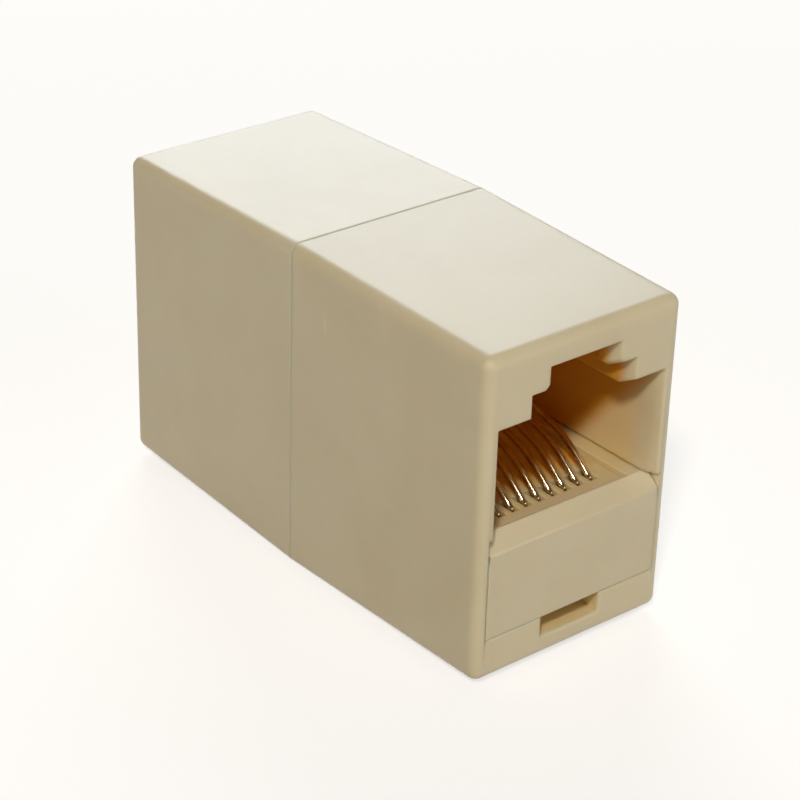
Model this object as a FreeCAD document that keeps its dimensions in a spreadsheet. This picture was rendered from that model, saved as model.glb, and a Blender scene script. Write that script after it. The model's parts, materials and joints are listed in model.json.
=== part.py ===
import FreeCAD, Part
import math
import os
import re

import Sketcher

# An inline coupler for two 8-way plugs. X runs across the plug openings, Y along the coupler and
# Z up. The origin lies under the middle seam, where the shell reaches lowest. Lengths are in
# millimetres and angles in degrees. "Depth" is measured inwards from the shell's end face.

# Driving sizes
SIZES = {
    # Shell walls, from the bottom of the end face to its top
    "bottom_wall": 1.38,
    "slot_height": 1.36,
    "panel_height": 5.65,
    "sill_height": 0.91,
    "plug_height": 6.68,
    "wide_notch_height": 1.45,
    "narrow_notch_height": 1.4,
    "top_wall": 2.07,
    # Shell across its width
    "plug_width": 11.84,
    "wide_notch_width": 7.1,
    "narrow_notch_width": 4.5,
    "slot_width": 4.6,
    "guide_width": 0.64,
    "side_wall": 0.74,
    # How much further each wall stands out at the seam than at the end face
    "side_draft": 0.22,
    "top_draft": 0.42,
    # Shell along its length
    "plug_depth": 10.8,
    "chamber_half": 5.6,
    "lip_thickness": 1.7,
    "edge_radius": 0.7,
    "flare_width": 0.45,
    "flare_depth": 0.95,
    "notch_chamfer": 0.3,
    "seam_chamfer": 0.06,
    # Spigot that centres one half shell in the other
    "spigot_wall": 0.42,
    "spigot_length": 1.5,
    "spigot_clearance": 0.04,
    # Snap tongue under each insert and its recess in the shell's floor
    "recess_start": 4.0,
    "recess_length": 3.0,
    "recess_depth": 0.6,
    "snap_clearance": 0.12,
    "snap_land": 0.8,
    "snap_ramp": 1.7,
    "tongue_start": 3.2,
    "tongue_length": 5.8,
    # Contact insert
    "insert_clearance": 0.05,
    "ledge_gap": 0.08,
    "sill_depth": 1.0,
    "sill_radius": 0.25,
    "sill_land": 0.12,
    "panel_wall": 1.3,
    "insert_side_wall": 1.0,
    "insert_floor": 1.0,
    "rail_width": 0.95,
    "rail_height": 0.37,
    "deck_wall": 1.3,
    "comb_wall": 1.1,
    "comb_cover": 1.2,
    "slot_clearance": 0.08,
    "contact_slot_start": 2.35,
    "contact_slot_length": 1.35,
    # Spring contacts
    "contact_count": 8,
    "contact_pitch": 1.016,
    "wire_diameter": 0.46,
    "riser_depth": 2.8,
    "bend_drop": 0.12,
    "slope_run": 2.85,
    "slope_angle": 39,
    "tip_angle": 15,
    "heel_radius": 0.4,
    "bend_radius": 0.6,
    "crown_radius": 7.0,
    "tip_engagement": 0.7,
    # Crimps that join the contact tails to the leads
    "crimp_depth": 8.2,
    "crimp_length": 2.2,
    "crimp_flats": 0.84,
    "crimp_wall_clearance": 0.02,
    "seat_clearance": 0.03,
    # Leads between the two inserts
    "lead_flats": 0.76,
    "core_flats": 0.42,
    "lead_outer_turn": 4.6,
    "lead_inner_turn": 2.2,
    "lead_layer": 1.02,
    "lead_bend_share": 0.34,
}

# Levels and places that follow from the driving sizes
LEVELS = {
    "half_length": "plug_depth + comb_wall + chamber_half",
    "window_width": "plug_width + 2 * guide_width",
    "end_width": "window_width + 2 * side_wall",
    "seam_width": "end_width + 2 * side_draft",
    "end_bottom": "top_draft",
    "slot_bottom": "end_bottom + bottom_wall",
    "window_bottom": "slot_bottom + slot_height",
    "sill_edge": "window_bottom + panel_height",
    "floor_level": "sill_edge + sill_height",
    "window_top": "floor_level + ledge_gap",
    "plug_top": "floor_level + plug_height",
    "wide_top": "plug_top + wide_notch_height",
    "keyway_top": "wide_top + narrow_notch_height",
    "end_top": "keyway_top + top_wall",
    "seam_top": "end_top + top_draft",
    "recess_bottom": "slot_bottom - recess_depth",
    "insert_width": "window_width - 2 * insert_clearance",
    "insert_bottom": "window_bottom + insert_clearance",
    "insert_length": "plug_depth + comb_wall",
    "deck_top": "floor_level - rail_height",
    "deck_bottom": "deck_top - deck_wall",
    "deck_width": "plug_width - 2 * rail_width",
    "comb_width": "plug_width - 2 * insert_clearance",
    "contact_slot_width": "wire_diameter + 2 * slot_clearance",
    "row_half": "(contact_count - 1) * contact_pitch / 2",
    "tail_level": "deck_bottom - seat_clearance - crimp_flats / 2",
    "tail_depth": "crimp_depth + crimp_length / 2",
    "bend_level": "deck_top - bend_drop",
    "bend_reach": "bend_radius * tan((90 - slope_angle) / 2)",
    "crown_depth": "riser_depth + slope_run * cos(slope_angle)",
    "crown_level": "bend_level + slope_run * sin(slope_angle)",
    "crown_reach": "crown_radius * tan((slope_angle - tip_angle) / 2)",
    "tip_depth": "plug_depth + tip_engagement",
    "tip_level": "crown_level + (tip_depth - crown_depth) * tan(tip_angle)",
    "comb_slot_bottom": "crown_level + (plug_depth - crown_depth) * tan(tip_angle)"
                        " - contact_slot_width / 2",
    "comb_top": "tip_level + comb_cover",
    "crimp_end": "crimp_depth + crimp_length",
}

SHEET = "sizes"
WORD = re.compile(r"[a-z_]+")
HALF_TURN = 180
TOLERANCE = 1e-4
VOLUME_TOLERANCE = 1e-3
# The flats round a contact wire, and round a crimp or a lead
WIRE_FLAT_COUNT = 8
HEXAGON_FLAT_COUNT = 6

document = FreeCAD.newDocument("inline_coupler")
sheet = document.addObject("Spreadsheet::Sheet", SHEET)
nodes = []


def fill_sheet():
    """Gives every driving size a cell and a name in the sheet."""
    for row, (name, size) in enumerate(SIZES.items(), 1):
        sheet.set(f"A{row}", name)
        sheet.set(f"B{row}", str(size))
        sheet.setAlias(f"B{row}", name)
    document.recompute()


def formula(text):
    """Writes a formula out in the sheet's cells, with each level replaced by its own formula."""
    def expand(match):
        word = match.group()
        if word in LEVELS:
            return f"({formula(LEVELS[word])})"
        return f"{SHEET}.{word}" if word in SIZES else word
    return WORD.sub(expand, text)


def value(text):
    """The number that a formula gives with the sheet as it stands."""
    return float(sheet.evalExpression(formula(text)))


def bind(feature, **formulas):
    """Ties each named property of a feature to a formula."""
    for name, text in formulas.items():
        feature.setExpression(name.replace("__", "."), formula(text))


def new_sketch(body, name, plane):
    """An empty sketch on one of the body's own origin planes."""
    sketch = body.newObject("Sketcher::SketchObject", f"{body.Name}_{name}")
    planes = body.Origin.OriginFeatures
    sketch.AttachmentSupport = [(next(p for p in planes if p.Role == plane), "")]
    sketch.MapMode = "FlatFace"
    return sketch


def tie(sketch, kind, place, text):
    """Adds one dimension to a sketch and ties it to a formula."""
    index = sketch.addConstraint(Sketcher.Constraint(kind, *place, value(text)))
    sketch.setExpression(f"Constraints[{index}]", formula(text))


def arc_through(start, end, radius):
    """The anticlockwise arc from start to end, less than half a turn, with the radius given."""
    chord = end - start
    middle = (start + end) / 2
    inward = FreeCAD.Vector(-chord.y, chord.x, 0).normalize()
    centre = middle + inward * math.sqrt(radius ** 2 - (chord.Length / 2) ** 2)
    first = math.atan2(start.y - centre.y, start.x - centre.x)
    last = math.atan2(end.y - centre.y, end.x - centre.x)
    circle = Part.Circle(centre, FreeCAD.Vector(0, 0, 1), radius)
    return Part.ArcOfCircle(circle, first, last)


def draw(sketch, points, arcs=None, closed=True):
    """Draws an outline through points, each a pair of formulas, fully tied to the sheet.

    arcs gives the radius of each stretch that is an anticlockwise arc, by its number.
    """
    arcs = arcs or {}
    places = [FreeCAD.Vector(value(across), value(up), 0) for across, up in points]
    count = len(points) if closed else len(points) - 1
    for index in range(count):
        start = places[index]
        end = places[(index + 1) % len(places)]
        if index in arcs:
            sketch.addGeometry(arc_through(start, end, value(arcs[index])), False)
        else:
            sketch.addGeometry(Part.LineSegment(start, end), False)
    for index in range(count if closed else count - 1):
        following = (index + 1) % count
        sketch.addConstraint(Sketcher.Constraint("Coincident", index, 2, following, 1))
    for index, (across, up) in enumerate(points):
        place = (index, 1) if index < count else (index - 1, 2)
        tie(sketch, "DistanceX", place, across)
        tie(sketch, "DistanceY", place, up)
    for index, radius in arcs.items():
        tie(sketch, "Radius", (index,), radius)
    return sketch


def outline(body, name, plane, points, arcs=None, closed=True):
    """A new sketch with one outline in it."""
    return draw(new_sketch(body, name, plane), points, arcs, closed)


def corners(left, right, low, high):
    """The four corners of an upright rectangle."""
    return [(left, low), (right, low), (right, high), (left, high)]


def across(width, low, high):
    """A rectangle centred on the coupler's middle plane."""
    return corners(f"-{width} / 2", f"{width} / 2", low, high)


def extrude(body, kind, name, sketch, side="Symmetric", through=False, **lengths):
    """A pad or pocket from a sketch, checked to have added or taken material."""
    before = body.Shape.Volume if body.Tip else 0
    feature = body.newObject(f"PartDesign::{kind}", f"{body.Name}_{name}")
    feature.Profile = sketch
    feature.SideType = "Symmetric" if side == "Symmetric" else "One side"
    feature.Reversed = side == "Reversed"
    if through:
        feature.Type = "ThroughAll"
    bind(feature, **lengths)
    document.recompute()
    change = body.Shape.Volume - before
    if (change <= 0) == (kind == "Pad"):
        raise RuntimeError(f"{feature.Name} changes the volume by {change}")
    return feature


def dress(body, kind, name, test, **sizes):
    """A fillet or chamfer on the edges of the body that pass a test."""
    base = body.Tip
    names = [f"Edge{number}" for number, edge in enumerate(base.Shape.Edges, 1) if test(edge)]
    feature = body.newObject(f"PartDesign::{kind}", f"{body.Name}_{name}")
    feature.Base = (base, names)
    bind(feature, **sizes)
    document.recompute()
    return feature


def box_of(edge):
    """The box round an edge, for finding it by its place."""
    return edge.BoundBox


def near(first, second):
    """Whether two lengths are the same, up to rounding."""
    return abs(first - second) < TOLERANCE


def new_body(label, turned, shift=None):
    """An empty body, turned to the rear end if asked, and moved by formulas along X, Y and Z."""
    body = document.addObject("PartDesign::Body", label)
    body.Label = label
    turn = FreeCAD.Rotation(FreeCAD.Vector(0, 0, 1), HALF_TURN if turned else 0)
    body.Placement = FreeCAD.Placement(FreeCAD.Vector(0, 0, 0), turn)
    for axis, text in (shift or {}).items():
        sign = "-" if turned and axis != "z" else ""
        body.setExpression(f"Placement.Base.{axis}", f"{sign}({formula(text)})")
    nodes.append(body)
    return body


def keyed_outline(grow):
    """The stepped opening for a plug and its latch, grown outwards by a formula."""
    plug = f"plug_width / 2 + {grow}"
    notch = f"wide_notch_width / 2 + {grow}"
    key = f"narrow_notch_width / 2 + {grow}"
    right = [(plug, f"plug_top + {grow}"), (notch, f"plug_top + {grow}"), (notch, f"wide_top + {grow}"),
             (f"{key} + notch_chamfer", f"wide_top + {grow}"),
             (key, f"wide_top + notch_chamfer + {grow}"), (key, f"keyway_top + {grow}")]
    left = [(f"-({side})", up) for side, up in reversed(right)]
    return [(plug, "window_bottom")] + right + left + [(f"-({plug})", "window_bottom")]


def regular(radius, flats, up="0"):
    """A regular outline with the given number of flats, a flat on top, round a centre at a height."""
    turn = 2 * HALF_TURN / flats
    angles = [turn * (number + 0.5) + HALF_TURN / 2 for number in range(flats)]
    return [(f"({radius}) * cos({angle})", f"{up} + ({radius}) * sin({angle})") for angle in angles]


def hexagon(reach, up="0"):
    """A hexagon that reaches the given distance to each of its flats."""
    return regular(f"({reach}) / cos({HALF_TURN / HEXAGON_FLAT_COUNT})", HEXAGON_FLAT_COUNT, up)


def make_housing(label, turned):
    """Half of the shell: tapered outside, with the plug mouth, insert window and lead chamber."""
    body = new_body(label, turned)
    block = body.newObject("PartDesign::AdditiveWedge", f"{label}_block")
    bind(block, Ymin="-half_length", Ymax="0", Xmin="-end_width / 2", Xmax="end_width / 2",
         X2min="-seam_width / 2", X2max="seam_width / 2", Zmin="end_bottom", Zmax="end_top",
         Z2min="0", Z2max="seam_top")
    document.recompute()
    dress(body, "Fillet", "outer_edges", lambda edge: box_of(edge).YMin < -TOLERANCE,
          Radius="edge_radius")
    dress(body, "Chamfer", "seam_edge", lambda edge: near(box_of(edge).YMin, 0), Size="seam_chamfer")

    mouth = outline(body, "mouth_outline", "XZ_Plane", keyed_outline("0"))
    bind(mouth, AttachmentOffset__Base__z="half_length")
    extrude(body, "Pocket", "mouth", mouth, side="One side", Length="plug_depth")
    rim = outline(body, "flare_rim", "XZ_Plane", keyed_outline("flare_width"))
    bind(rim, AttachmentOffset__Base__z="half_length")
    throat = outline(body, "flare_throat", "XZ_Plane", keyed_outline("0"))
    bind(throat, AttachmentOffset__Base__z="half_length - flare_depth")
    flare = body.newObject("PartDesign::SubtractiveLoft", f"{label}_flare")
    flare.Profile = rim
    flare.Sections = [throat]
    flare.Ruled = True
    document.recompute()
    window = outline(body, "window_outline", "XZ_Plane",
                     across("window_width", "window_bottom", "window_top"))
    extrude(body, "Pocket", "window", window, through=True)
    slot = outline(body, "slot_outline", "XZ_Plane",
                   across("slot_width", "slot_bottom", "window_bottom + insert_clearance"))
    extrude(body, "Pocket", "slot", slot, through=True)
    latch = outline(body, "latch_outline", "XZ_Plane",
                    across("wide_notch_width", "plug_top", "keyway_top"))
    bind(latch, AttachmentOffset__Base__z="half_length - lip_thickness")
    extrude(body, "Pocket", "latch_space", latch, side="One side",
            Length="plug_depth - lip_thickness")
    comb_way = outline(body, "comb_way_outline", "XZ_Plane",
                       across("plug_width", "window_bottom", "comb_top + insert_clearance"))
    extrude(body, "Pocket", "comb_way", comb_way, side="Reversed", Length="half_length - plug_depth")
    chamber = outline(body, "chamber_outline", "XZ_Plane",
                      across("window_width", "slot_bottom", "keyway_top"))
    extrude(body, "Pocket", "lead_chamber", chamber, side="Reversed", Length="chamber_half")
    recess = outline(body, "recess_outline", "YZ_Plane",
                     corners("-half_length + recess_start",
                             "-half_length + recess_start + recess_length",
                             "recess_bottom", "slot_bottom + insert_clearance"))
    extrude(body, "Pocket", "snap_recess", recess, Length="slot_width")

    ring_width = "window_width + 2 * spigot_wall"
    ring_low = "slot_bottom - spigot_wall"
    ring_high = "keyway_top + spigot_wall"
    if turned:
        socket = outline(body, "socket_outline", "XZ_Plane",
                         across(f"({ring_width} + 2 * spigot_clearance)",
                                f"{ring_low} - spigot_clearance", f"{ring_high} + spigot_clearance"))
        extrude(body, "Pocket", "socket", socket, side="Reversed",
                Length="spigot_length + spigot_clearance")
    else:
        ring = outline(body, "spigot_outline", "XZ_Plane", across(f"({ring_width})", ring_low, ring_high))
        extrude(body, "Pad", "spigot", ring, side="Reversed", Length="spigot_length")
        bore = outline(body, "spigot_bore_outline", "XZ_Plane",
                       across("window_width", "slot_bottom", "keyway_top"))
        extrude(body, "Pocket", "spigot_bore", bore, side="One side", Length="spigot_length")


def make_insert(label, turned):
    """The moulding that holds eight contacts: front panel, sill, rails, slotted deck and comb."""
    body = new_body(label, turned)
    face = "-half_length"
    back = "-half_length + insert_length"
    side = outline(body, "side_outline", "YZ_Plane",
                   [(face, "insert_bottom"), (back, "insert_bottom"), (back, "floor_level"),
                    (f"{face} + sill_depth", "floor_level"), (face, "sill_edge")])
    extrude(body, "Pad", "block", side, Length="insert_width")
    edges = [("sill_edge", "-half_length"), ("floor_level", "-half_length + sill_depth")]

    def sill_corner(edge):
        box = box_of(edge)
        return any(near(box.ZMin, value(up)) and near(box.ZMax, value(up))
                   and near(box.YMin, value(along)) and near(box.YMax, value(along))
                   for up, along in edges)

    dress(body, "Fillet", "sill_edges", sill_corner, Radius="sill_radius")
    hollow = outline(body, "hollow_outline", "YZ_Plane",
                     corners(f"{face} + panel_wall", back, "insert_bottom + insert_floor", "deck_bottom"))
    extrude(body, "Pocket", "hollow", hollow, Length="insert_width - 2 * insert_side_wall")
    bed = outline(body, "deck_outline", "YZ_Plane",
                  corners(f"{face} + sill_depth + sill_land", back, "deck_top", "floor_level"))
    extrude(body, "Pocket", "deck", bed, Length="deck_width")
    comb = outline(body, "comb_outline", "YZ_Plane",
                   corners(f"{face} + plug_depth", back, "deck_top", "comb_top"))
    extrude(body, "Pad", "comb", comb, Length="comb_width")
    tongue_start = f"{face} + tongue_start"
    tongue_end = f"{face} + tongue_start + tongue_length"
    catch = f"{face} + recess_start + snap_clearance"
    clear = "slot_bottom + snap_clearance"
    hook = "recess_bottom + snap_clearance"
    tongue = outline(body, "tongue_outline", "YZ_Plane",
                     [(tongue_start, "insert_bottom"), (tongue_start, clear), (catch, clear),
                      (catch, hook), (f"{catch} + snap_land", hook),
                      (f"{catch} + snap_land + snap_ramp", clear), (tongue_end, clear),
                      (tongue_end, "insert_bottom")])
    extrude(body, "Pad", "tongue", tongue, Length="slot_width - 2 * snap_clearance")

    first_slot = new_sketch(body, "contact_slot_outline", "YZ_Plane")
    bind(first_slot, AttachmentOffset__Base__z="-row_half")
    slot_start = f"{face} + contact_slot_start"
    draw(first_slot, corners(slot_start, f"{slot_start} + contact_slot_length",
                             "deck_bottom - insert_clearance", "floor_level"))
    slots = extrude(body, "Pocket", "contact_slot", first_slot, Length="contact_slot_width")
    first_gap = new_sketch(body, "comb_slot_outline", "YZ_Plane")
    bind(first_gap, AttachmentOffset__Base__z="-row_half")
    draw(first_gap, corners(f"{face} + plug_depth - insert_clearance", f"{back} + insert_clearance",
                            "comb_slot_bottom", "comb_top + insert_clearance"))
    gaps = extrude(body, "Pocket", "comb_slot", first_gap, Length="contact_slot_width")
    row = body.newObject("PartDesign::LinearPattern", f"{label}_slot_row")
    row.Originals = [slots, gaps]
    row.Direction = (next(axis for axis in body.Origin.OriginFeatures if axis.Role == "X_Axis"), [""])
    bind(row, Length="2 * row_half", Occurrences="contact_count")
    body.Tip = row
    document.recompute()
    return body


def make_contact(label, turned, number):
    """One spring contact: a wire bent in one plane, from its comb slot to its tail."""
    body = new_body(label, turned, {"x": f"{number} * contact_pitch - row_half"})
    face = "-half_length"
    route = [
        (f"{face} + tip_depth", "tip_level"),
        (f"{face} + crown_depth + crown_reach * cos(tip_angle)",
         "crown_level + crown_reach * sin(tip_angle)"),
        (f"{face} + crown_depth - crown_reach * cos(slope_angle)",
         "crown_level - crown_reach * sin(slope_angle)"),
        (f"{face} + riser_depth + bend_reach * cos(slope_angle)",
         "bend_level + bend_reach * sin(slope_angle)"),
        (f"{face} + riser_depth", "bend_level - bend_reach"),
        (f"{face} + riser_depth", "tail_level + heel_radius"),
        (f"{face} + riser_depth + heel_radius", "tail_level"),
        (f"{face} + tail_depth", "tail_level"),
    ]
    bends = {1: "crown_radius", 3: "bend_radius", 5: "heel_radius"}
    path = outline(body, "route", "YZ_Plane", route, bends, closed=False)
    section = outline(body, "section", "XZ_Plane",
                      regular("wire_diameter / 2", WIRE_FLAT_COUNT, "tail_level"))
    bind(section, AttachmentOffset__Base__z="half_length - tail_depth")
    wire = body.newObject("PartDesign::AdditivePipe", f"{label}_wire")
    wire.Profile = section
    wire.Spine = (path, [])
    document.recompute()
    return body


def make_crimp(label, turned, number):
    """One ferrule: a short hexagonal barrel round the contact's tail and the lead's core."""
    body = new_body(label, turned, {"x": f"{number} * contact_pitch - row_half"})
    barrel = outline(body, "barrel_outline", "XZ_Plane", hexagon("crimp_flats / 2", "tail_level"))
    bind(barrel, AttachmentOffset__Base__z="half_length - crimp_end")
    extrude(body, "Pad", "barrel", barrel, side="One side", Length="crimp_length")
    bore = outline(body, "bore_outline", "XZ_Plane",
                   hexagon("wire_diameter / 2 + crimp_wall_clearance", "tail_level"))
    extrude(body, "Pocket", "bore", bore, side="Symmetric", through=True)
    return body


def rounded_path(points, share):
    """Straight runs through points, joined by tangent arcs, and the arcs' radii.

    Each arc takes up the given share of the shorter of its two runs.
    """
    edges = []
    radii = []
    start = points[0]
    for before, corner, after in zip(points, points[1:], points[2:]):
        back = before - corner
        ahead = after - corner
        reach = share * min(back.Length, ahead.Length)
        back.normalize()
        ahead.normalize()
        radius = reach * math.tan(back.getAngle(ahead) / 2)
        towards = (back + ahead).normalize()
        centre = corner + towards * math.hypot(radius, reach)
        enter = corner + back * reach
        leave = corner + ahead * reach
        edges.append(Part.LineSegment(start, enter).toShape())
        edges.append(Part.Arc(enter, centre - towards * radius, leave).toShape())
        radii.append(radius)
        start = leave
    edges.append(Part.LineSegment(start, points[-1]).toShape())
    return Part.Wire(edges), radii


def lead_outline(reach, centre):
    """A lead's hexagonal outline, upright across the coupler's length."""
    points = []
    for across_text, up_text in hexagon(reach):
        points.append(centre + FreeCAD.Vector(value(across_text), 0, value(up_text)))
    return Part.makePolygon(points + points[:1])


def make_lead(number):
    """One insulated lead from a front crimp to the rear crimp of the same number.

    The two ends face each other, so all the leads cross in the middle, each in a layer of its own:
    the inner pair lies closest to the tails' level and the outer pairs above and below it.
    """
    side = value(f"{number} * contact_pitch - row_half")
    start = value("half_length - crimp_end")
    outer = value("lead_outer_turn")
    inner = value("lead_inner_turn")
    low = value("tail_level")
    high = low - value("lead_layer") * side / value("contact_pitch")
    places = [(side, -start, low), (side, -outer, low), (side, -inner, high),
              (-side, inner, high), (-side, outer, low), (-side, start, low)]
    points = [FreeCAD.Vector(*place) for place in places]
    path, radii = rounded_path(points, value("lead_bend_share"))
    section = lead_outline("lead_flats / 2", points[0])
    lead = path.makePipeShell([section], True, False)
    swept = Part.Face(section).Area * path.Length
    if abs(lead.Volume / swept - 1) > VOLUME_TOLERANCE:
        raise RuntimeError(f"lead {number + 1} has volume {lead.Volume}, not {swept}")
    core_length = value("crimp_end - tail_depth - seat_clearance")
    for place, way in ((points[0], -core_length), (points[-1], core_length)):
        core = Part.Face(lead_outline("core_flats / 2", place))
        lead = lead.fuse(core.extrude(FreeCAD.Vector(0, way, 0)))
    node = document.addObject("Part::Feature", f"link_lead_{number + 1}")
    node.Shape = lead
    node.Label = node.Name
    node.Placement = FreeCAD.Placement()
    nodes.append(node)
    print(node.Label, "radii", [round(radius, 2) for radius in radii], "length", round(path.Length, 2))


def make_coupler():
    """Every piece of the coupler."""
    for end, turned in (("front", False), ("rear", True)):
        make_housing(f"{end}_housing", turned)
        make_insert(f"{end}_contact_insert", turned)
        for number in range(int(value("contact_count"))):
            make_contact(f"{end}_contact_{number + 1}", turned, number)
            make_crimp(f"{end}_crimp_{number + 1}", turned, number)
    for number in range(int(value("contact_count"))):
        make_lead(number)
    document.recompute()


def check_pieces():
    """Stops if any object failed or any piece has no sound shape."""
    for item in document.Objects:
        if {"Invalid", "Error"} & set(item.State):
            raise RuntimeError(f"{item.Name} failed: {item.State}")
    for node in nodes:
        if node.Shape.isNull() or not node.Shape.isValid() or len(node.Shape.Solids) != 1:
            raise RuntimeError(f"{node.Label} has no single sound solid")


fill_sheet()
make_coupler()
check_pieces()
os.makedirs("parts", exist_ok=True)
for node in nodes:
    node.Shape.exportStep(f"parts/{node.Label}.step")
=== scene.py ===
import json
import math

import bpy
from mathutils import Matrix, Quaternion, Vector


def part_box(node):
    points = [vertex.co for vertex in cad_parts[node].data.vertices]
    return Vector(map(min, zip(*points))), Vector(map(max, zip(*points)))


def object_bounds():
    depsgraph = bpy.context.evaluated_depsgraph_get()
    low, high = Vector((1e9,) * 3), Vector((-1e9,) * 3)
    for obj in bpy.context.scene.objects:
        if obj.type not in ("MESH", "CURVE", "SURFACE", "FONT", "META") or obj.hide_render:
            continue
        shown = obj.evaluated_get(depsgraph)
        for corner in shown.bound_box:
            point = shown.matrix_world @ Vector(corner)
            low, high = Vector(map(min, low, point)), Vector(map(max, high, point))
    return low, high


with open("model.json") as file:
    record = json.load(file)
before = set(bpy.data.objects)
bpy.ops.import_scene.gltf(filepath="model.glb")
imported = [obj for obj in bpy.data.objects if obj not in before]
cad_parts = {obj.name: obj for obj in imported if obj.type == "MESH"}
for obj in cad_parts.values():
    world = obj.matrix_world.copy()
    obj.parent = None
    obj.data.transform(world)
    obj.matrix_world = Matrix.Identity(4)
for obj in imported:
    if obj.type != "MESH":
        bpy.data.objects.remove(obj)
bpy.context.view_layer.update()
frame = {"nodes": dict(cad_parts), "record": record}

# The scene is in metres and in the coupler's own frame: X across the plug openings, Y along the
# coupler from the front opening, Z up. The front end face is the one with the lowest Y.
MM = 0.001

# Camera
CAMERA_PLACE = Vector((-85.036, -104.348, 81.621)) * MM
CAMERA_TARGET = Vector((0.172, -1.064, 9.548)) * MM
CAMERA_ROLL = math.radians(1.707)
CAMERA_LENS = 110.526
CAMERA_SENSOR = 36.0
CAMERA_NEAR = 0.005
CAMERA_FAR = 20.0

# Floor, whose far part goes over into the white surround
FLOOR_HALF = 3.0
FLOOR_COLOUR = (0.6, 0.57, 0.52)
FLOOR_LIFT = 0.64
FLOOR_NEAR = 0.08
FLOOR_FAR = 0.4

# Light: the surround's, and each lamp's name, place, size, power and colour
WHITE = (1.0, 1.0, 1.0)
WORLD_COLOUR = (1.0, 0.93, 0.84)
WORLD_STRENGTH = 0.11
LAMP_AIM = Vector((0, 0, 0.01))
LAMPS = (
    ("back", (0.264, 0.406, 0.226), 0.3, 1.32, (0.85, 0.92, 1.0)),
    ("key", (-0.31, -0.29, 0.434), 0.06, 1.5, (1.0, 0.95, 0.89)),
    ("front", (0.14, -0.56, 0.09), 0.25, 0.6, (0.98, 0.98, 1.0)),
)

# Plastic colours, as linear values, with the painted shade and shadow inside, and gloss
IVORY_PALE = (0.86, 0.765, 0.53)
IVORY_DEEP = (0.83, 0.73, 0.495)
INSERT_PALE = (0.855, 0.765, 0.54)
INSERT_DEEP = (0.825, 0.73, 0.505)
# Painted shade inside the mouth: honey by depth, and amber for the painted shadow
HONEY_SHADE = {"housing_plastic": (0.92, 0.73, 0.39), "insert_plastic": (0.8, 0.67, 0.36)}
AMBER_SHADOW = (0.8, 0.41, 0.05)
SCUFF = (0.82, 0.78, 0.68)
# Pale colour for the painted light on the seam's groove and for the nick
SEAM_LIGHT_AND_NICK_PALE = (0.92, 0.83, 0.58)
HOUSING_ROUGHNESS = 0.33
INSERT_ROUGHNESS = 0.4
ROUGHNESS_DROP = 0.005
ROUGHNESS_RISE = 0.01
PLASTIC_IOR = 1.46

# How far light spreads within the plastic, and the share of that for red, green and blue
GLOW_REACH = 0.32 * MM
GLOW_SHARES = (1.0, 0.82, 0.65)

# The plastic's surface detail. A noise is given as its call takes it, a range is the part of it in
# which the pattern comes up, and a relief is a bump's height and strength.
MOTTLING = {"size": 7 * MM, "detail": 3.0, "distortion": 0.6}
MOTTLING_RANGE = (0.35, 0.7)
GLOSS = {"size": 1.6 * MM, "detail": 3.0}
GLOSS_RANGE = (0.3, 0.7)
WAVES = {"size": 5 * MM, "detail": 1.0}
WAVE_RELIEF = (0.012 * MM, 0.35)
GRAIN = {"size": 0.22 * MM, "detail": 2.0}
GRAIN_RELIEF = (0.004 * MM, 0.5)

# Handling marks: the noise and range for each direction, and the patches that have them
SCUFF_LINES = (
    ({"size": 1.2 * MM, "detail": 4.0, "stretch": (1.0, 0.12, 1.0), "distortion": 0.3},
     (0.66, 0.74)),
    ({"size": 1.5 * MM, "detail": 4.0, "stretch": (0.15, 1.0, 1.0), "distortion": 0.4},
     (0.68, 0.76)),
)
SCUFF_PATCHES = {"size": 11 * MM, "detail": 1.0}
SCUFF_PATCH_RANGE = (0.5, 0.62)
SCUFF_RELIEF = (-0.006 * MM, 0.6)
SCUFF_COLOUR_SHARE = 0.35
SCUFF_ROUGHNESS = 0.12

# Painted light on the welded seam's groove, which lightens its shade, and one small pale nick in
# the left side
SEAM_LIGHT_HALF_WIDTH = 0.07 * MM
SEAM_LIGHT_STRENGTH = 0.4
NICK_ALONG = -3.28 * MM
NICK_UP = 17.8 * MM
NICK_HALF_WIDTH = 0.15 * MM
NICK_FADE = 1.6
NICK_FLATNESS = 0.3
NICK_STRENGTH = 0.7
LEFT_SIDE = -7 * MM

# The space inside the walls, where the plastic gets painted shade in deeper tones. Depth is
# measured inwards from the nearer end face.
INSIDE_HALF_WIDTH = 6.6 * MM
INSIDE_BOTTOM = 1.75 * MM
INSIDE_TOP = 19.6 * MM
INSIDE_EDGE = 0.25 * MM

# Painted shade: the tone is honey by depth, and the latch slot counts as deeper than it is
HONEY_SHADE_START = 0.7 * MM
HONEY_SHADE_END = 2.8 * MM
SLOT_TOP = 3.1 * MM
SLOT_DEPTH = 2.5 * MM
FACE_START = 0.05 * MM
FACE_END = 0.5 * MM

# It is painted shadow, amber, past a line that slopes down into the mouth, from this level at the
# end face: the shadow that the mouth's rim casts. The lip stays clear of it, and only the deep
# part has it beyond the half width.
AMBER_SHADOW_LINE = {"housing_plastic": 16.7 * MM, "insert_plastic": 13.6 * MM}
AMBER_SHADOW_SLOPE = 1.1
AMBER_SHADOW_START = -0.6 * MM
AMBER_SHADOW_END = 1.6 * MM
AMBER_SHADOW_HALF_WIDTH = {"housing_plastic": 6.6 * MM, "insert_plastic": 4.7 * MM}
LIP_START = 0.4 * MM
LIP_END = 1.1 * MM
DEEP_START = 7 * MM
DEEP_END = 9 * MM

# Edges of the mouldings: the bevels' widths, and how far the material blends the faces' shading
EDGE_WIDTHS = {"housing_plastic": 0.06 * MM, "insert_plastic": 0.035 * MM}
EDGE_SEGMENTS = 3
EDGE_ANGLE = math.radians(50)
RIM_SOFTNESS = {"housing_plastic": 0.36 * MM, "insert_plastic": 0.12 * MM}
RIM_SAMPLES = 4
WELD_DISTANCE = 0.0005 * MM

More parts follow.
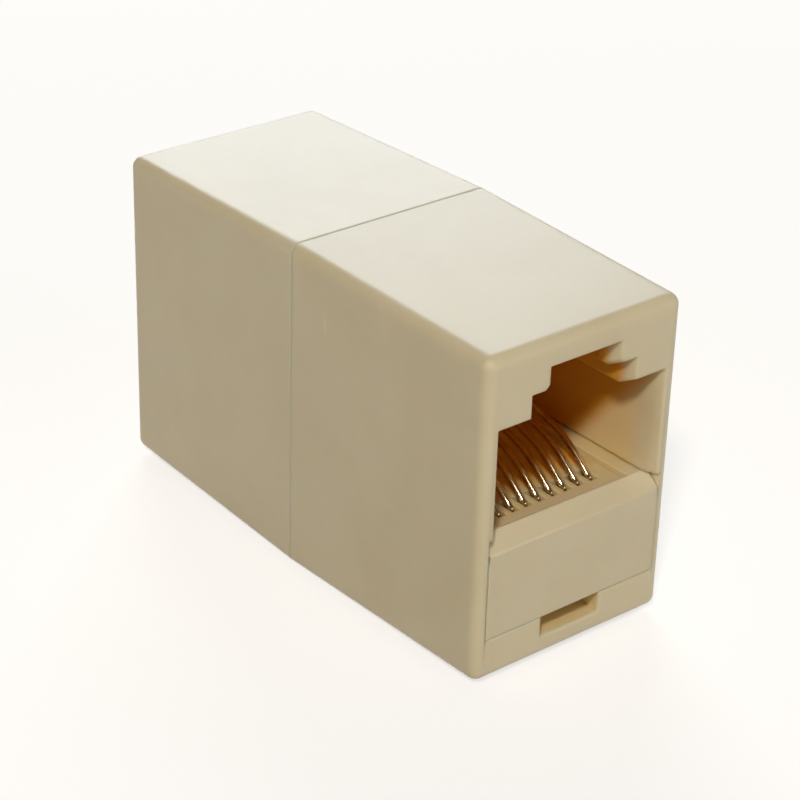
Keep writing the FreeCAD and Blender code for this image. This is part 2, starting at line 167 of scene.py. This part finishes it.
# Metals and insulation, with the roughness at both ends of their pattern
GOLD_BRIGHT = (0.7, 0.53, 0.34)
GOLD_DULL = (0.5, 0.35, 0.2)
GOLD_TARNISH = {"size": 0.9 * MM, "detail": 3.0}
GOLD_TARNISH_RANGE = (0.4, 0.75)
GOLD_ROUGHNESS = (0.1, 0.17)
GOLD_LINES = {"size": 0.12 * MM, "detail": 2.0, "stretch": (6.0, 1.0, 1.0)}
GOLD_RELIEF = (0.0015 * MM, 0.6)
TIN_BRIGHT = (0.72, 0.72, 0.70)
TIN_DULL = (0.55, 0.55, 0.54)
TIN_CLOUDS = {"size": 0.7 * MM, "detail": 3.0}
TIN_CLOUD_RANGE = (0.35, 0.7)
TIN_ROUGHNESS = (0.32, 0.5)
TIN_DENTS = {"size": 0.3 * MM, "detail": 2.0}
TIN_RELIEF = (0.02 * MM, 0.5)
LEAD_CLOUDS = {"size": 1.5 * MM, "detail": 3.0}
LEAD_DULLNESS = 0.82
LEAD_GLOSS = {"size": 0.6 * MM, "detail": 2.0}
LEAD_GLOSS_RANGE = (0.3, 0.7)
LEAD_ROUGHNESS = (0.38, 0.5)
LEAD_LINES = {"size": 0.15 * MM, "detail": 2.0, "stretch": (4.0, 1.0, 4.0)}
LEAD_RELIEF = (0.006 * MM, 0.5)
LEAD_COLOURS = {
    "lead_blue": (0.05, 0.14, 0.48),
    "lead_orange": (0.82, 0.26, 0.03),
    "lead_black": (0.025, 0.025, 0.027),
    "lead_red": (0.58, 0.025, 0.02),
    "lead_green": (0.04, 0.32, 0.07),
    "lead_yellow": (0.83, 0.66, 0.05),
    "lead_brown": (0.22, 0.09, 0.035),
    "lead_grey": (0.42, 0.43, 0.44),
}

# The Mix node's sockets for colours, which have the same names as its other ones
MIX_FACTOR = 0
MIX_FIRST = 6
MIX_SECOND = 7
MIX_RESULT = 2


class Shader:
    """A material's node tree, with one short call for each kind of node that it needs."""

    def __init__(self, name):
        self.material = bpy.data.materials.new(name)
        self.material.use_nodes = True
        self.tree = self.material.node_tree
        self.surface = self.tree.nodes["Principled BSDF"]
        self.places = self.add("ShaderNodeTexCoord").outputs["Object"]

    def add(self, kind, **settings):
        node = self.tree.nodes.new(kind)
        for name, setting in settings.items():
            setattr(node, name, setting)
        return node

    def feed(self, socket, source):
        """Gives a socket a number or colour, or links another node's output to it."""
        if isinstance(source, bpy.types.NodeSocket):
            self.tree.links.new(source, socket)
        elif isinstance(source, tuple) and socket.type == "RGBA":
            socket.default_value = (*source, 1.0)
        else:
            socket.default_value = source

    def set(self, **inputs):
        """Sets the surface's inputs by name, with _ for a space."""
        for name, source in inputs.items():
            self.feed(self.surface.inputs[name.replace("_", " ")], source)

    def maths(self, operation, *operands):
        node = self.add("ShaderNodeMath", operation=operation)
        for index, operand in enumerate(operands):
            self.feed(node.inputs[index], operand)
        return node.outputs[0]

    def noise(self, size, detail, stretch=(1.0, 1.0, 1.0), distortion=0.0):
        """Noise whose blotches are about this size, in metres."""
        mapping = self.add("ShaderNodeMapping")
        self.feed(mapping.inputs["Vector"], self.places)
        mapping.inputs["Scale"].default_value = stretch
        node = self.add("ShaderNodeTexNoise")
        self.feed(node.inputs["Vector"], mapping.outputs[0])
        node.inputs["Scale"].default_value = 1.0 / size
        node.inputs["Detail"].default_value = detail
        node.inputs["Distortion"].default_value = distortion
        return node.outputs["Fac"]

    def ease(self, source, low, high, first=0.0, last=1.0):
        """A smooth change from first to last while the source goes from low to high."""
        node = self.add("ShaderNodeMapRange", interpolation_type="SMOOTHSTEP")
        for index, operand in enumerate((source, low, high, first, last)):
            self.feed(node.inputs[index], operand)
        return node.outputs[0]

    def blend(self, factor, first, second):
        node = self.add("ShaderNodeMix", data_type="RGBA")
        self.feed(node.inputs[MIX_FACTOR], factor)
        self.feed(node.inputs[MIX_FIRST], first)
        self.feed(node.inputs[MIX_SECOND], second)
        return node.outputs[MIX_RESULT]

    def bump(self, height, distance, strength, over=None):
        """A bump of this height, in metres, on the plain surface or over another bump."""
        node = self.add("ShaderNodeBump")
        node.inputs["Strength"].default_value = strength
        node.inputs["Distance"].default_value = distance
        self.feed(node.inputs["Height"], height)
        if over is not None:
            self.feed(node.inputs["Normal"], over)
        return node.outputs[0]

    def axes(self):
        """The three coordinates of the place that is shaded."""
        node = self.add("ShaderNodeSeparateXYZ")
        self.feed(node.inputs[0], self.places)
        return node.outputs


def moulded_plastic(name, pale, deep, roughness):
    """Ivory moulded plastic: faint mottling, fine grain, light scuffs, painted shade and shadow
    inside.
    """
    shader = Shader(name)
    mottling = shader.ease(shader.noise(**MOTTLING), *MOTTLING_RANGE)
    honey_shade, amber_shadow = painted_shade_inside(shader, name)
    scuffs = scuff_marks(shader)
    # Painted shade inside, then painted shadow, then scuffs, then the pale seam light and nick
    colour = shader.blend(honey_shade, shader.blend(mottling, pale, deep), HONEY_SHADE[name])
    colour = shader.blend(amber_shadow, colour, AMBER_SHADOW)
    colour = shader.blend(shader.maths("MULTIPLY", scuffs, SCUFF_COLOUR_SHARE), colour, SCUFF)
    colour = shader.blend(seam_light_and_nick(shader), colour, SEAM_LIGHT_AND_NICK_PALE)
    gloss = shader.ease(shader.noise(**GLOSS), *GLOSS_RANGE,
                        roughness - ROUGHNESS_DROP, roughness + ROUGHNESS_RISE)
    dulled = shader.maths("MULTIPLY", scuffs, SCUFF_ROUGHNESS)
    shader.set(Base_Color=colour, Subsurface_Weight=1.0, Subsurface_Scale=GLOW_REACH,
               Subsurface_Radius=GLOW_SHARES, IOR=PLASTIC_IOR,
               Roughness=shader.maths("ADD", gloss, dulled))
    rims = shader.add("ShaderNodeBevel", samples=RIM_SAMPLES)
    rims.inputs["Radius"].default_value = RIM_SOFTNESS[name]
    waves = shader.bump(shader.noise(**WAVES), *WAVE_RELIEF, over=rims.outputs[0])
    grain = shader.bump(shader.noise(**GRAIN), *GRAIN_RELIEF, over=waves)
    shader.set(Normal=shader.bump(scuffs, *SCUFF_RELIEF, over=grain))
    return shader.material


def painted_shade_inside(shader, name):
    """The shares of honey painted shade and of amber painted shadow at a place."""
    across, along, up = shader.axes()
    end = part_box("rear_housing")[1].y
    depth = shader.maths("SUBTRACT", end, shader.maths("ABSOLUTE", along))
    side = shader.maths("ABSOLUTE", across)
    within = shader.ease(side, INSIDE_HALF_WIDTH, INSIDE_HALF_WIDTH + INSIDE_EDGE, 1.0, 0.0)
    below = shader.ease(up, INSIDE_TOP, INSIDE_TOP + INSIDE_EDGE, 1.0, 0.0)
    above = shader.ease(up, INSIDE_BOTTOM - INSIDE_EDGE, INSIDE_BOTTOM)
    inside = shader.maths("MULTIPLY", within, shader.maths("MULTIPLY", below, above))

    in_slot = shader.ease(up, SLOT_TOP, SLOT_TOP + INSIDE_EDGE, SLOT_DEPTH, 0.0)
    past_face = shader.ease(depth, FACE_START, FACE_END)
    seen_depth = shader.maths("ADD", depth, shader.maths("MULTIPLY", in_slot, past_face))
    honey_shade = shader.maths("MULTIPLY", inside, shader.ease(seen_depth, HONEY_SHADE_START, HONEY_SHADE_END))

    # Painted shadow: amber past the sloping line of the rim's cast shadow, and in the deep part
    level = shader.maths("MULTIPLY_ADD", depth, AMBER_SHADOW_SLOPE, up)
    shadow_line = shader.maths("SUBTRACT", level, AMBER_SHADOW_LINE[name])
    past_shadow_line = shader.maths("MULTIPLY", shader.ease(shadow_line, AMBER_SHADOW_START, AMBER_SHADOW_END),
                             shader.ease(depth, LIP_START, LIP_END))
    half_width = AMBER_SHADOW_HALF_WIDTH[name]
    middle = shader.ease(side, half_width, half_width + INSIDE_EDGE, 1.0, 0.0)
    reached = shader.maths("MAXIMUM", shader.ease(depth, DEEP_START, DEEP_END), middle)
    amber_shadow = shader.maths("MULTIPLY", inside, shader.maths("MULTIPLY", past_shadow_line, reached))
    return honey_shade, amber_shadow


def scuff_marks(shader):
    """Sparse fine handling marks, in two directions."""
    lines = [shader.ease(shader.noise(**noise), *shown) for noise, shown in SCUFF_LINES]
    patches = shader.ease(shader.noise(**SCUFF_PATCHES), *SCUFF_PATCH_RANGE)
    return shader.maths("MULTIPLY", shader.maths("MAXIMUM", *lines), patches)


def seam_light_and_nick(shader):
    """The share of the pale colour: painted light on the seam's groove, and the nick."""
    across, along, up = shader.axes()
    seam_light = shader.ease(shader.maths("ABSOLUTE", along), SEAM_LIGHT_HALF_WIDTH, 2 * SEAM_LIGHT_HALF_WIDTH,
                       SEAM_LIGHT_STRENGTH, 0.0)
    wide = shader.maths("ABSOLUTE", shader.maths("SUBTRACT", along, NICK_ALONG))
    high = shader.maths("ABSOLUTE", shader.maths("SUBTRACT", up, NICK_UP))
    away = shader.maths("ADD", wide, shader.maths("MULTIPLY", high, NICK_FLATNESS))
    nick = shader.ease(away, NICK_HALF_WIDTH, NICK_FADE * NICK_HALF_WIDTH, NICK_STRENGTH, 0.0)
    on_left = shader.maths("LESS_THAN", across, LEFT_SIDE)
    return shader.maths("MAXIMUM", seam_light, shader.maths("MULTIPLY", nick, on_left))


def gold_wire(name):
    """Bright gold plating over drawn wire, with faint lines along it and thin tarnish."""
    shader = Shader(name)
    tarnish = shader.ease(shader.noise(**GOLD_TARNISH), *GOLD_TARNISH_RANGE)
    shader.set(Base_Color=shader.blend(tarnish, GOLD_BRIGHT, GOLD_DULL), Metallic=1.0,
               Roughness=shader.ease(tarnish, 0.0, 1.0, *GOLD_ROUGHNESS),
               Normal=shader.bump(shader.noise(**GOLD_LINES), *GOLD_RELIEF))
    return shader.material


def tinned_metal(name):
    """Dull tin plating with the small dents of a crimping tool's jaws."""
    shader = Shader(name)
    clouds = shader.ease(shader.noise(**TIN_CLOUDS), *TIN_CLOUD_RANGE)
    shader.set(Base_Color=shader.blend(clouds, TIN_BRIGHT, TIN_DULL), Metallic=1.0,
               Roughness=shader.ease(clouds, 0.0, 1.0, *TIN_ROUGHNESS),
               Normal=shader.bump(shader.noise(**TIN_DENTS), *TIN_RELIEF))
    return shader.material


def wire_insulation(name, colour):
    """Soft extruded insulation, slightly cloudy, with faint extrusion lines."""
    shader = Shader(name)
    dull = tuple(channel * LEAD_DULLNESS for channel in colour)
    gloss = shader.ease(shader.noise(**LEAD_GLOSS), *LEAD_GLOSS_RANGE, *LEAD_ROUGHNESS)
    shader.set(Base_Color=shader.blend(shader.noise(**LEAD_CLOUDS), colour, dull),
               Roughness=gloss, Normal=shader.bump(shader.noise(**LEAD_LINES), *LEAD_RELIEF))
    return shader.material


def make_materials():
    """Every material slot of the record, by name."""
    materials = {
        "housing_plastic": moulded_plastic("housing_plastic", IVORY_PALE, IVORY_DEEP,
                                           HOUSING_ROUGHNESS),
        "insert_plastic": moulded_plastic("insert_plastic", INSERT_PALE, INSERT_DEEP,
                                          INSERT_ROUGHNESS),
        "gold_plated_wire": gold_wire("gold_plated_wire"),
        "tinned_crimp": tinned_metal("tinned_crimp"),
    }
    for slot, colour in LEAD_COLOURS.items():
        materials[slot] = wire_insulation(slot, colour)
    return materials


def dress_nodes(materials):
    """Gives each CAD node its material, smooth curves and, on the mouldings, softened edges."""
    for subpart in frame["record"]["subparts"]:
        node = frame["nodes"][subpart["node"]]
        slot = subpart["material_slot"]
        node.data.materials.clear()
        node.data.materials.append(materials[slot])
        node.data.shade_smooth()
        weld = node.modifiers.new("weld", "WELD")
        weld.merge_threshold = WELD_DISTANCE
        if slot in EDGE_WIDTHS:
            bevel = node.modifiers.new("soft_edges", "BEVEL")
            bevel.width = EDGE_WIDTHS[slot]
            bevel.segments = EDGE_SEGMENTS
            bevel.limit_method = "ANGLE"
            bevel.angle_limit = EDGE_ANGLE
            bevel.use_clamp_overlap = False
        node.modifiers.new("flat_faces", "WEIGHTED_NORMAL")


def make_floor():
    """A plain pale floor, white to the camera and to reflections but for the coupler's shadow."""
    half = FLOOR_HALF
    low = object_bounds()[0][2]
    mesh = bpy.data.meshes.new("floor")
    corners = [(-half, -half, low), (half, -half, low), (half, half, low), (-half, half, low)]
    mesh.from_pydata(corners, [], [(0, 1, 2, 3)])
    floor = bpy.data.objects.new("floor", mesh)
    bpy.context.scene.collection.objects.link(floor)
    shader = Shader("floor")
    seen = shader.add("ShaderNodeLightPath")
    view = shader.maths("MAXIMUM", seen.outputs["Is Camera Ray"],
                        shader.maths("MAXIMUM", seen.outputs["Is Glossy Ray"],
                                     seen.outputs["Is Transmission Ray"]))
    across, along, _ = shader.axes()
    distance = shader.maths("SQRT", shader.maths("MULTIPLY_ADD", across, across,
                                                 shader.maths("MULTIPLY", along, along)))
    lift = shader.ease(distance, FLOOR_NEAR, FLOOR_FAR, FLOOR_LIFT, 1.0)
    shader.set(Base_Color=FLOOR_COLOUR, Roughness=1.0, Specular_IOR_Level=0.0,
               Emission_Color=WHITE, Emission_Strength=shader.maths("MULTIPLY", view, lift))
    mesh.materials.append(shader.material)


def make_world():
    """An even pale surround, white where the camera sees it, directly or through glass."""
    world = bpy.data.worlds.new("surround")
    bpy.context.scene.world = world
    world.use_nodes = True
    tree = world.node_tree
    background = tree.nodes["Background"]
    seen = tree.nodes.new("ShaderNodeLightPath")
    view = tree.nodes.new("ShaderNodeMath")
    view.operation = "MAXIMUM"
    tree.links.new(seen.outputs["Is Camera Ray"], view.inputs[0])
    tree.links.new(seen.outputs["Is Transmission Ray"], view.inputs[1])
    colour = tree.nodes.new("ShaderNodeMix")
    colour.data_type = "RGBA"
    tree.links.new(view.outputs[0], colour.inputs[MIX_FACTOR])
    light = [channel * WORLD_STRENGTH for channel in WORLD_COLOUR]
    colour.inputs[MIX_FIRST].default_value = (*light, 1.0)
    colour.inputs[MIX_SECOND].default_value = (*WHITE, 1.0)
    tree.links.new(colour.outputs[MIX_RESULT], background.inputs["Color"])


def make_lamp(name, place, size, power, colour):
    """A square soft lamp that faces the coupler's middle."""
    light = bpy.data.lights.new(name, "AREA")
    light.size = size
    light.energy = power
    light.color = colour
    lamp = bpy.data.objects.new(name, light)
    lamp.location = place
    lamp.rotation_euler = (LAMP_AIM - Vector(place)).to_track_quat("-Z", "Y").to_euler()
    bpy.context.scene.collection.objects.link(lamp)


def make_camera():
    camera = bpy.data.objects.new("camera", bpy.data.cameras.new("camera"))
    camera.data.sensor_width = CAMERA_SENSOR
    camera.data.lens = CAMERA_LENS
    camera.data.clip_start = CAMERA_NEAR
    camera.data.clip_end = CAMERA_FAR
    camera.location = CAMERA_PLACE
    aim = (CAMERA_TARGET - CAMERA_PLACE).to_track_quat("-Z", "Y")
    camera.rotation_mode = "QUATERNION"
    camera.rotation_quaternion = aim @ Quaternion((0, 0, 1), CAMERA_ROLL)
    bpy.context.scene.collection.objects.link(camera)
    bpy.context.scene.camera = camera


bpy.context.scene.view_settings.view_transform = "Standard"
make_camera()
make_world()
for lamp in LAMPS:
    make_lamp(*lamp)
make_floor()
dress_nodes(make_materials())
